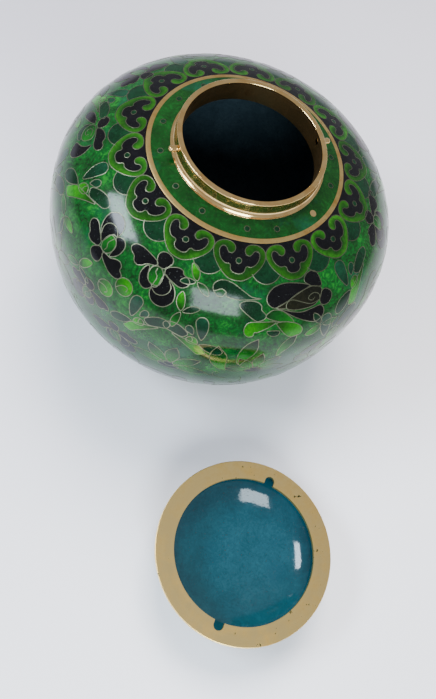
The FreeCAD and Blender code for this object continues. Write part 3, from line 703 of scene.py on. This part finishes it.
ROSETTE = {
    "cells": [
        ("black", [(-3.2, 2.7), (-5, 3.5), (-5.5, 5.3), (-4, 6.7), (-2, 6.4), (-1, 4.9), (-1.2, 3.3)]),
        ("black", [(-1, 3.1), (-0.2, 5.1), (1.5, 6.3), (3.5, 6.7), (5, 5.9), (6.5, 6.2), (7.9, 5.1),
            (7.5, 3.5), (5.5, 2.8), (2, 3.1)]),
        ("green", [(-3.2, 0), (-2.4, 2), (0, 2.7), (2.4, 2), (3.2, 0), (2.4, -2), (0, -2.7), (-2.4, -2)]),
        ("black", [(-3.5, 1.6), (-6, 1.2), (-9, -0.8), (-10.2, -3.5), (-8.4, -4.3), (-6, -2.1),
            (-4.2, 0)]),
        ("dark", [(-3.5, 0), (-4, -2.7), (-2, -4.7), (1, -4.3), (2, -3.1), (-0.5, -2.7), (-2.5, -1.8)]),
        ("black", [(5.5, 2), (7.7, -0.4), (8.5, -3.1), (7.7, -5.9), (5.5, -6.8), (3.2, -5.5), (2.5, -4.3),
            (4.7, -2), (5.5, 0)]),
    ],
    "wires": [
        [(1.8, 1.2), (-0.6, 1.6), (-1.6, 0.2), (-0.8, -1.2), (0.7, -0.9), (0.8, 0.3)],
    ],
}
print("petals and hearts:", [len(flower["cells"]) for flower in (PANSY, MAGNOLIA, ROSETTE)])

# %% Orchids and leaves
ORCHID = {
    "cells": [
        ("teal", [(-3.5, 0), (-5.5, 3.9), (-5.8, 7.4), (-4.7, 9.4), (-2.6, 9.7), (-1.3, 8.2), (-1.5, 5.5),
            (-2.2, 2.3)]),
        ("teal", [(-0.3, 2.3), (-0.6, 4.3), (0.3, 5.9), (1.5, 6.2), (2.4, 5.3), (2.2, 3.9), (0.9, 2.9)]),
        ("dark", [(2, 1.6), (1.7, 2.9), (4.1, 5.3), (7, 6.6), (9.6, 6.4), (10.8, 5.3), (10.2, 3.5),
            (7.6, 2.3), (4.1, 0.8)]),
        ("leaf", [(-2, -1.2), (-1.5, 0.4), (0.3, 1.4), (2, 0.6), (2, -1.2), (0, -2.3), (-1.7, -2.3)]),
        ("dark", [(-2.6, -2.3), (-5.2, -2.1), (-9, -3.3), (-11.1, -5.9), (-10.5, -7.8), (-8.2, -7.8),
            (-5.2, -5.9), (-2.9, -3.1)]),
        ("leaf", [(-2.3, -2.7), (-4.1, -5.5), (-4.7, -7.4), (-1.7, -8.2), (0.6, -5.5), (4.1, -1.6),
            (7.6, 1.8), (2.9, 0)]),
    ],
    "wires": [
        [(0.3, 1.4), (-0.2, 0), (0.2, -1.4)],
    ],
}
BUTTERFLY = {
    "cells": [
        ("leaf", [(0, 0.2), (-4.2, 0.4), (-8.5, 0.2), (-10, -1.4), (-10.1, -3.5), (-8.7, -4.9),
            (-7.1, -4.5), (-6.9, -3.3), (-5.6, -3.1), (-2.1, -1.4)]),
        ("leaf", [(0.3, -0.2), (3.7, -0.2), (7.4, -1.6), (9.5, -3.7), (9.5, -5.5), (7.9, -6.2), (5.3, -6),
            (3.2, -4.3), (1.3, -2)]),
        ("green", [(-3.4, 2), (-2.1, 3.7), (-0.5, 4.2), (2.1, 3.5), (4.8, 1.2), (6.1, -0.8), (3.7, -0.2),
            (0.3, 0.4)]),
        ("dark", [(-2.6, -2.9), (1.3, -3.1), (1.3, -4.5), (-0.3, -5), (-1.9, -4.3)]),
    ],
    "wires": [],
}
DARK_LEAF = {
    "cells": [
        ("dark", [(-4.2, 1.8), (-2, 2.7), (0.8, 2.5), (2.4, 1.4), (2.6, 0), (4.2, -1.6), (4.1, -2.7),
            (2.8, -3.5), (1.2, -3.5), (-1.5, -1.8), (-4.2, 0.4)]),
    ],
    "wires": [],
}
CURLED_LEAF = {
    "cells": [
        ("dark", [(-5.9, -1.2), (-6.2, 0.5), (-5, 2), (-2.9, 2.7), (0, 2.1), (3.2, 0.4), (6.2, -1.2),
            (9.2, -1.6), (4.6, -2.1), (1.8, -2.4), (-1.7, -2), (-2, -0.8), (-3.5, -0.1), (-4.8, -0.8)]),
    ],
    "wires": [
        [(-5.9, -1.2), (-4.6, -2.4), (-3.0, -2.4), (-2, -0.8)],
    ],
}
POINTED_LEAF = {
    "cells": [
        ("fade", [(-1.2, -6.6), (-2.3, -4.7), (-2.8, -0.8), (-2, 2.7), (-0.3, 5.1), (2.3, 6.6),
            (2.3, 6.6), (2.6, 5.1), (2.9, 2), (2, -0.8), (0.3, -3.9), (-0.6, -6.6)]),
    ],
    "wires": [],
}
BUD = {
    "cells": [
        ("leaf", [(-3, 0), (-2.1, 2.1), (0, 3), (2.1, 2.1), (3, 0), (2.1, -2.1), (0, -3), (-2.1, -2.1)]),
    ],
    "wires": [
        [(-3, 0), (-0.5, 0.6), (1.2, -0.4), (0.4, -1.6)],
    ],
}
TENDRIL = {
    "cells": [],
    "wires": [
        [(-6, -1.5), (-3, 0.8), (0.5, 1.2), (3.4, 0.2), (4.2, -1.8), (2.8, -2.8), (1.8, -1.8),
         (2.5, -1.1)],
        [(0.5, 1.2), (1.6, 3), (3.6, 3.4)],
    ],
}
SPRIG = {
    "cells": [
        ("green", [(0, 0), (-2.4, 0.9), (-4.9, 0.4), (-6.6, -1.4), (-4.2, -1.9), (-1.6, -1.2)]),
        ("leaf", [(0.4, 0.4), (1.2, 2.8), (3.4, 4.4), (6, 4.2), (4.6, 2), (2.3, 0.4)]),
        ("dark", [(0.6, -0.4), (2.6, -0.6), (4.6, -2), (5.2, -4.2), (2.8, -3.4), (1.2, -1.8)]),
    ],
    "wires": [],
}
print("an orchid has", len(ORCHID["cells"]), "cells")

# %% [markdown]
# The lotus is a fan: one pointed petal, repeated round its base, with a small scalloped heart.

# %% Lotus
def spun(points, degrees, lift=0.0):
    """Turns drawn points about the figure's root, after lifting them away from it."""
    a, p = math.radians(degrees), np.asarray(points, float) + [0, lift]
    return p @ np.array([[math.cos(a), math.sin(a)], [-math.sin(a), math.cos(a)]])


petal = [(-0.3, 0), (-1.8, 2.6), (-2.4, 5.6), (-1.5, 8.6), (0.4, 10.8), (0.4, 10.8), (1.6, 8.4),
         (2.3, 5.4), (1.6, 2.4), (0.3, 0)]
heart = [(-3, -2.4), (-3.6, -0.6), (-2, 0.6), (-0.9, 1.4), (0.9, 1.4), (2, 0.6), (3.6, -0.6),
         (3, -2.4), (0, -3.2)]
LOTUS = {
    "cells": [("fade", spun(petal, fan, 1.8)) for fan in (-88, -44, 0, 44, 88)] + [("heart", heart)],
    "wires": [[(-3.4, -1.2), (-1.7, -0.4), (0, -1.4), (1.7, -0.4), (3.4, -1.2)]],
}
print("figures ready; a lotus has", len(LOTUS["cells"]), "cells")


# %% [markdown]
# A row of figures is one list of places: run from the pole, turn, spin, size and which way round.
# The rows the eye meets first are listed one by one; the rest repeat them with small seeded changes, as
# a workshop repeats a pattern without copying it exactly.

# %% Lay rows of figures
FLOWER_REACH, LEAF_REACH = 9.5, 5.0      # mm from a figure's middle that it keeps clear
centres = []


def draw(wires, cells, figure, spot):
    """Lays one figure: a cell and a closed wire for each outline, then its loose wires."""
    for colour, points in figure["cells"]:
        outline = smooth(points)
        root, tip_colour = GLASS[colour]
        cell(cells, spot, *sides(outline), root, tip_colour)
        wire(wires, spot, outline, True)
    for points in figure["wires"]:
        wire(wires, spot, smooth(points, closed=False), False)


def row(name, node, slot, places):
    """Lays a row and makes its two pieces, the wires and the glass."""
    wires, cells = Batch(), Batch()
    for figure, run, turn, *bearing in places:
        spot = Spot(jar, run, turn, *bearing)
        draw(wires, cells, figure, spot)
        reach = FLOWER_REACH if len(figure["cells"]) > 2 else LEAF_REACH
        centres.append((run, turn, reach * spot.size))
    wires.piece(name + "_wires_fine", wire_brass, "jar", "wire", node)
    cells.piece(name + "_glass", figure_glass, "jar", slot)


row("pansy", "pansy_wires", "black_enamel", [
    (PANSY, 55.7, 210.8, 165, 0.98), (PANSY, 52.6, 230.4), (MAGNOLIA, 52.2, 285.8),
    (ROSETTE, 52.6, 165.3), (PANSY, 51, 337, 20, 0.95, -1), (PANSY, 50.5, 129, -10, 0.92),
    (MAGNOLIA, 53, 20, 5, 0.95, -1), (PANSY, 52.5, 62, 10), (ROSETTE, 53, 86, -5, 1, -1),
])
row("orchid", "orchid_wires", "green_enamel", [
    (ORCHID, 54.3, 188, 0, 0.94), (ORCHID, 54.3, 309.5, 0, 0.94), (ORCHID, 69.4, 232.5, 0, 0.85),
    (ORCHID, 67, 249.5, 15, 0.85, -1), (ORCHID, 52.5, 358.5, -8, 0.95, -1), (ORCHID, 53, 41, 0, 0.95),
    (ORCHID, 52.5, 107.5, 5, 1, -1), (ORCHID, 53, 148, 0, 0.85), (ORCHID, 69, 298),
    (ORCHID, 70, 339, 10, 1, -1), (ORCHID, 70, 24), (ORCHID, 70, 88, -10, 1, -1), (ORCHID, 70, 130),
    (ORCHID, 70, 174, 5),
])

# %% Leaves and low flowers
row("leaf", "leaf_wires", "green_enamel", [
    (CURLED_LEAF, 47.9, 258), (DARK_LEAF, 53, 266.5), (BUTTERFLY, 57.3, 275), (POINTED_LEAF, 69.7, 267.6),
    (POINTED_LEAF, 67.4, 280, -18, 0.75), (POINTED_LEAF, 74.5, 260, 35, 1.1), (BUD, 67.4, 218.5),
    (BUD, 62, 223.6, 40), (SPRIG, 70.5, 206.5, 20), (SPRIG, 62.5, 293, 160, 0.95),
    (BUTTERFLY, 63.5, 320, 0, 0.95, -1), (SPRIG, 63, 348, 30), (BUTTERFLY, 64, 8),
    (SPRIG, 64, 52, 0, 1, -1), (BUTTERFLY, 64, 73, 5), (SPRIG, 63.5, 98, 15),
    (BUTTERFLY, 63, 118, 0, 0.9, -1), (SPRIG, 63, 154), (SPRIG, 66, 191, -30),
    (SPRIG, 48.5, 244.5, -20, 0.8, -1), (SPRIG, 59, 243, 70, 0.9),
])
row("lotus", "lotus_wires", "black_enamel", [
    (LOTUS, 80, 272.5, 0, 0.82), (LOTUS, 86, 246), (MAGNOLIA, 74, 316, 0, 0.95), (LOTUS, 85, 294),
    (PANSY, 71, 357), (PANSY, 86, 334, 10), (LOTUS, 86, 15), (MAGNOLIA, 72, 47, 0, 1, -1),
    (PANSY, 87, 38, 0, 1, -1), (LOTUS, 86, 60), (PANSY, 71, 67, 0, 0.95), (ROSETTE, 86, 82),
    (LOTUS, 87, 104), (MAGNOLIA, 71, 109), (PANSY, 86, 127), (ROSETTE, 71, 152, 0, 1, -1),
    (LOTUS, 86, 149), (PANSY, 87, 171), (LOTUS, 84, 194), (PANSY, 77, 213, 0, 0.9, -1),
    (PANSY, 86, 227, 15, 0.9),
])
low_kinds = (PANSY, ORCHID, MAGNOLIA, ROSETTE)
low_places = [(low_kinds[k % 4], 104 + 1.5 * (k % 2), 8 + 24 * k, 12 * (k % 3) - 12, 0.92, 1 - 2 * (k % 2))
              for k in range(15)]
row("low_flower", "low_flower_wires", "black_enamel", low_places)

# %% [markdown]
# Between the figures run small sprigs and tendrils. Their places come from a loose grid with a
# little seeded scatter, and a place is kept only where no figure's middle is near.

# %% Fill the gaps
rng = np.random.default_rng(7)
runs, turns = np.meshgrid(np.arange(51.5, 121, 5.0), np.arange(0, 360, 5.5), indexing="ij")
turns = turns + 2.75 * (np.arange(len(runs)) % 2)[:, None]
runs = runs.ravel() + rng.uniform(-0.8, 0.8, runs.size)
turns = turns.ravel() + rng.uniform(-0.8, 0.8, turns.size)
radii = jar.outline(runs)[0]
taken = np.array(centres)
fillers, placed = [], [taken]
spins, picks = rng.uniform(-180, 180, runs.size), rng.integers(0, 5, runs.size)
for k in range(runs.size):
    others = np.concatenate(placed)
    away = (turns[k] - others[:, 1] + 180) % 360 - 180
    gaps = np.hypot(runs[k] - others[:, 0], np.radians(away) * radii[k]) - others[:, 2]
    if gaps.min() > 3.6:
        figure = (SPRIG, TENDRIL, DARK_LEAF, SPRIG, BUD)[picks[k]]
        fillers.append((figure, Spot(jar, runs[k], turns[k], spins[k], 0.8 if figure is BUD else 0.72)))
        placed.append(np.array([[runs[k], turns[k], 4.2]]))
wires, cells = Batch(), Batch()
for figure, spot in fillers:
    draw(wires, cells, figure, spot)
wires.piece("sprig_wires", wire_brass, "jar", "wire")
cells.piece("sprig_glass", figure_glass, "jar", "green_enamel")
print(len(fillers), "small figures fill the gaps")

# %% [markdown]
# Round the shoulder stands a ring of ruyi heads, the cloud shape of Chinese ornament. A head is a
# ribbon that curls in at both shoulders, with a dark heart and a dot in it. Half of it is drawn
# and the other half mirrors it. The ribbon is ruled from its outer edge, bright, to its inner.

# %% Cloud heads
CLOUD_OUT = np.array([
    (0, -6.0), (2.0, -5.8), (3.7, -4.9), (5.2, -3.7), (6.7, -2.0), (7.7, -0.3), (8.1, 1.5),
    (7.7, 3.2), (6.4, 4.6), (4.6, 5.3), (2.6, 5.1), (1.5, 3.8), (1.8, 2.4), (2.8, 1.7)])
CLOUD_IN = np.array([
    (0, -3.9), (1.3, -3.7), (2.2, -2.9), (2.3, -1.9), (2.8, -1.4), (4.1, -1.5), (5.5, -0.5),
    (6.2, 1.1), (6.1, 2.6), (5.2, 3.5), (4.2, 3.1), (3.7, 2.2), (2.8, 1.7)])
MIRROR = np.array([-1, 1])
edge_out = smooth(np.r_[CLOUD_OUT[1:2] * MIRROR, CLOUD_OUT], closed=False)[8:]
edge_in = smooth(np.r_[CLOUD_IN[1:2] * MIRROR, CLOUD_IN], closed=False)[8:]
cloud_loop = np.r_[edge_out, edge_in[::-1], edge_in * MIRROR, (edge_out * MIRROR)[::-1]]
DOT_R = 0.92
around = np.linspace(0, 2 * np.pi, 20, endpoint=False)
dot_loop = DOT_R * np.stack([np.cos(around), np.sin(around)], -1)
heart_right = evenly(edge_in, 30)
CLOUD_BRIGHT, CLOUD_DEEP = linear(30, 82, 13), linear(9, 44, 8)


def cloud(wires, dots, cells, spot, bright=CLOUD_BRIGHT, deep=CLOUD_DEEP):
    """One head: two ribbon halves, the heart beneath them, the dot and their wires."""
    for hand in (1, MIRROR):
        one, two = evenly(edge_out, 34) * hand, evenly(edge_in, 34) * hand
        cell(cells, spot, one, two, bright, deep, rules=4, across=True)
    cell(cells, spot, heart_right, heart_right * MIRROR, *GLASS["heart"], height=UNDER, rules=9)
    wire(wires, spot, cloud_loop, True)
    wire(dots, spot, dot_loop, True)
    cell(cells, spot, *sides(dot_loop, 10), *GLASS["dark"], height=CELL, rules=4)


CLOUDS, FIRST_CLOUD, CLOUD_RUN = 14, 1.0, 38.7
step_deg = 360 / CLOUDS
wires, dots, scallops, cells = Batch(), Batch(), Batch(), Batch()
shade = np.random.default_rng(3)
sweep = np.linspace(-1.16, 1.16, 15)
arc = np.stack([4.9 * np.sin(sweep), -1.7 - 4.7 * np.cos(sweep)], -1)
SCALLOP = np.r_[[(0.0, 1.4), (-1.5, -0.9)], arc, [(1.5, -0.9)]]
for k in range(CLOUDS):
    spot = Spot(jar, CLOUD_RUN, FIRST_CLOUD + step_deg * k)
    warmth = shade.uniform(0.55, 1.15, 2)
    cloud(wires, dots, cells, spot, CLOUD_BRIGHT * warmth[0], CLOUD_DEEP * warmth[1])
    gap_spot = Spot(jar, CLOUD_RUN, FIRST_CLOUD + step_deg * (k + 0.5))
    left, right = SCALLOP[:9], np.r_[SCALLOP[:1], SCALLOP[:8:-1], SCALLOP[8:9]]
    left, right = evenly(left, 16), evenly(right, 16)
    cell(cells, gap_spot, left, right, GLASS["dark"][1], GLASS["teal"][0], height=UNDER)
    wire(scallops, gap_spot, arc, False)
wires.piece("cloud_wires_fine", wire_brass, "jar", "wire", "cloud_wires")
dots.piece("cloud_dot_wires_fine", wire_brass, "jar", "wire", "cloud_dot_wires")
scallops.piece("scallop_wires_fine", wire_brass, "jar", "wire", "scallop_wires")
cells.piece("cloud_glass", figure_glass, "jar", "green_enamel")

# %% [markdown]
# Behind the heads the glass is near black: one thin ring just under them.

# %% The dark ring behind the clouds
yoke = Batch()
yoke_top = turned(layer(jar, BAND_OUT - 0.1, CLOUD_RUN - 0.9, UNDER - 0.01, -0.3, 0.5))
yoke.add(yoke_top, True, GLASS["heart"][0])
yoke.piece("cloud_ground", figure_glass, "jar", "black_enamel")

# %% [markdown]
# The ring between the collar and the band carries a row of small wire circles. One of them is
# solid brass, where the maker let a plug of wire fill the circle.

# %% Shoulder dots
DOT_RUN, SOLID_DOT = 28.5, 309.0
dot_turns = [135.3, 158, 181.3, 208.3, 231, 260.6, 279.9, SOLID_DOT, 336.4, 359.6, 24, 47, 69, 91, 113]
wires, cells = Batch(), Batch()
for turn_deg in dot_turns:
    spot = Spot(jar, DOT_RUN, turn_deg)
    if turn_deg == SOLID_DOT:
        one, two = sides(dot_loop * 1.2, 14)
        plug = Batch()
        cell(plug, spot, one, two, GLASS["olive"][0], GLASS["olive"][0], height=0.0)
        plug.piece("solid_dot", collar_brass, "jar", "brass")
        continue
    wire(wires, spot, dot_loop, True)
    cell(cells, spot, *sides(dot_loop, 12), *GLASS["dark"], rules=4)
wires.piece("shoulder_dot_wires_fine", wire_brass, "jar", "wire", "shoulder_dot_wires")
cells.piece("shoulder_dot_glass", figure_glass, "jar", "black_enamel")

# %% [markdown]
# The lid lies on its face, so its outside shows only from low down. It repeats the shoulder's
# clouds at a smaller size, round one flower at the crown.

# %% Lid figures
wires, dots, crown, cells = Batch(), Batch(), Batch(), Batch()
for k in range(10):
    cloud(wires, dots, cells, Spot(lid, 20.5, 36 * k, 0, 0.72))
draw(crown, cells, ROSETTE, Spot(lid, 0.6, 0, 0, 0.85))
wires.piece("lid_cloud_wires_fine", wire_brass, "lid", "wire", "lid_cloud_wires")
dots.piece("lid_dot_wires_fine", wire_brass, "lid", "wire", "lid_dot_wires")
crown.piece("lid_crown_wires_fine", wire_brass, "lid", "wire", "lid_crown_wires")
cells.piece("lid_figure_glass", figure_glass, "lid", "green_enamel")

# %% [markdown]
# The table is a pale surface, not part of the object. Its colour carries painted light: darker towards the
# back and left, lighter towards the front and right, with a little noise in it. It is large, so its edge
# never shows.

# %% Table
table_mesh = bpy.data.meshes.new("table")
table_mesh.from_pydata([(-3, -3, 0), (3, -3, 0), (3, 3, 0), (-3, 3, 0)], [], [(0, 1, 2, 3)])
table = bpy.data.objects.new("table", table_mesh)
bpy.context.collection.objects.link(table)
paper, tree, shader = surface("table_paper")
where = put(tree, "TexCoord").outputs["Object"]
# painted light: the paper's colour is darker towards the back left and lighter towards the front right
forward = put(tree, "VectorMath", {"operation": "DOT_PRODUCT"}, i0=where, i1=(0.45, -1.0, 0.0)).outputs[1]
painted_light_drift = calc(tree, "ADD", forward, ramp(tree, noise(tree, where, 3.0, 2.0), 0.3, 0.7, -0.04, 0.04))
painted_light_tone = mix(tree, ramp(tree, painted_light_drift, -0.28, 0.16), rgba(172, 169, 180), rgba(252, 250, 255))
tree.links.new(painted_light_tone, shader.inputs["Base Color"])
shader.inputs["Roughness"].default_value = 0.75
table_mesh.materials.append(paper)
print("table", table.dimensions.x, "m wide")

# %% [markdown]
# The light is a small studio: a bright softbox to the left and a second one in front, both high,
# a broad panel overhead and an even pale surround. A glossy round jar shows the two softboxes as
# windows, so their size and place matter more than their strength. The panel shows in no gloss.

# %% Lights
BELLY_MIDDLE = Vector((0.0, -0.03, 0.05))


def softbox(name, place_m, width, height, power, colour=(1.0, 0.985, 0.97), glossy=True):
    """A rectangular light at a place, facing the jar's belly; glossy says whether gloss shows it."""
    lamp = bpy.data.lights.new(name, "AREA")
    lamp.shape, lamp.size, lamp.size_y, lamp.energy, lamp.color = "RECTANGLE", width, height, power, colour
    made = bpy.data.objects.new(name, lamp)
    made.location = place_m
    made.visible_glossy = glossy
    made.rotation_euler = (BELLY_MIDDLE - Vector(place_m)).to_track_quat("-Z", "Y").to_euler()
    bpy.context.collection.objects.link(made)
    print(name, power, "W")


softbox("softbox_left", (-0.475, 0.04, 0.48), 0.28, 0.14, 4.8, (0.76, 0.88, 1.0))
softbox("softbox_front", (-0.08, -0.55, 0.45), 0.3, 0.26, 5.0, (0.8, 0.93, 1.0))
softbox("ceiling_panel", (0.1, 0.55, 1.0), 0.6, 0.6, 22.0, (1.0, 0.97, 0.95), glossy=False)
world = bpy.data.worlds.new("studio")
world.use_nodes = True
world.node_tree.nodes["Background"].inputs["Color"].default_value = (0.93, 0.93, 1.0, 1)
world.node_tree.nodes["Background"].inputs["Strength"].default_value = 0.48
bpy.context.scene.world = world

# %% [markdown]
# The camera looks down from above the lid, close enough that the jar's far side falls away.

# %% Camera
lens = bpy.data.cameras.new("camera")
lens.lens, lens.sensor_width, lens.sensor_fit = 37.64, 36.0, "AUTO"
lens.clip_start = 0.01
camera = bpy.data.objects.new("camera", lens)
right, up, back = (0.96247, -0.13046, 0.23796), (0.02802, 0.91995, 0.39103), (-0.26992, -0.36969, 0.88909)
turned_lens = Matrix((right, up, back)).transposed().to_4x4()
camera.matrix_world = Matrix.Translation((-0.07334, -0.14136, 0.26084)) @ turned_lens
bpy.context.collection.objects.link(camera)
bpy.context.scene.camera = camera
print("camera at", tuple(round(c, 3) for c in camera.location), "lens", lens.lens)
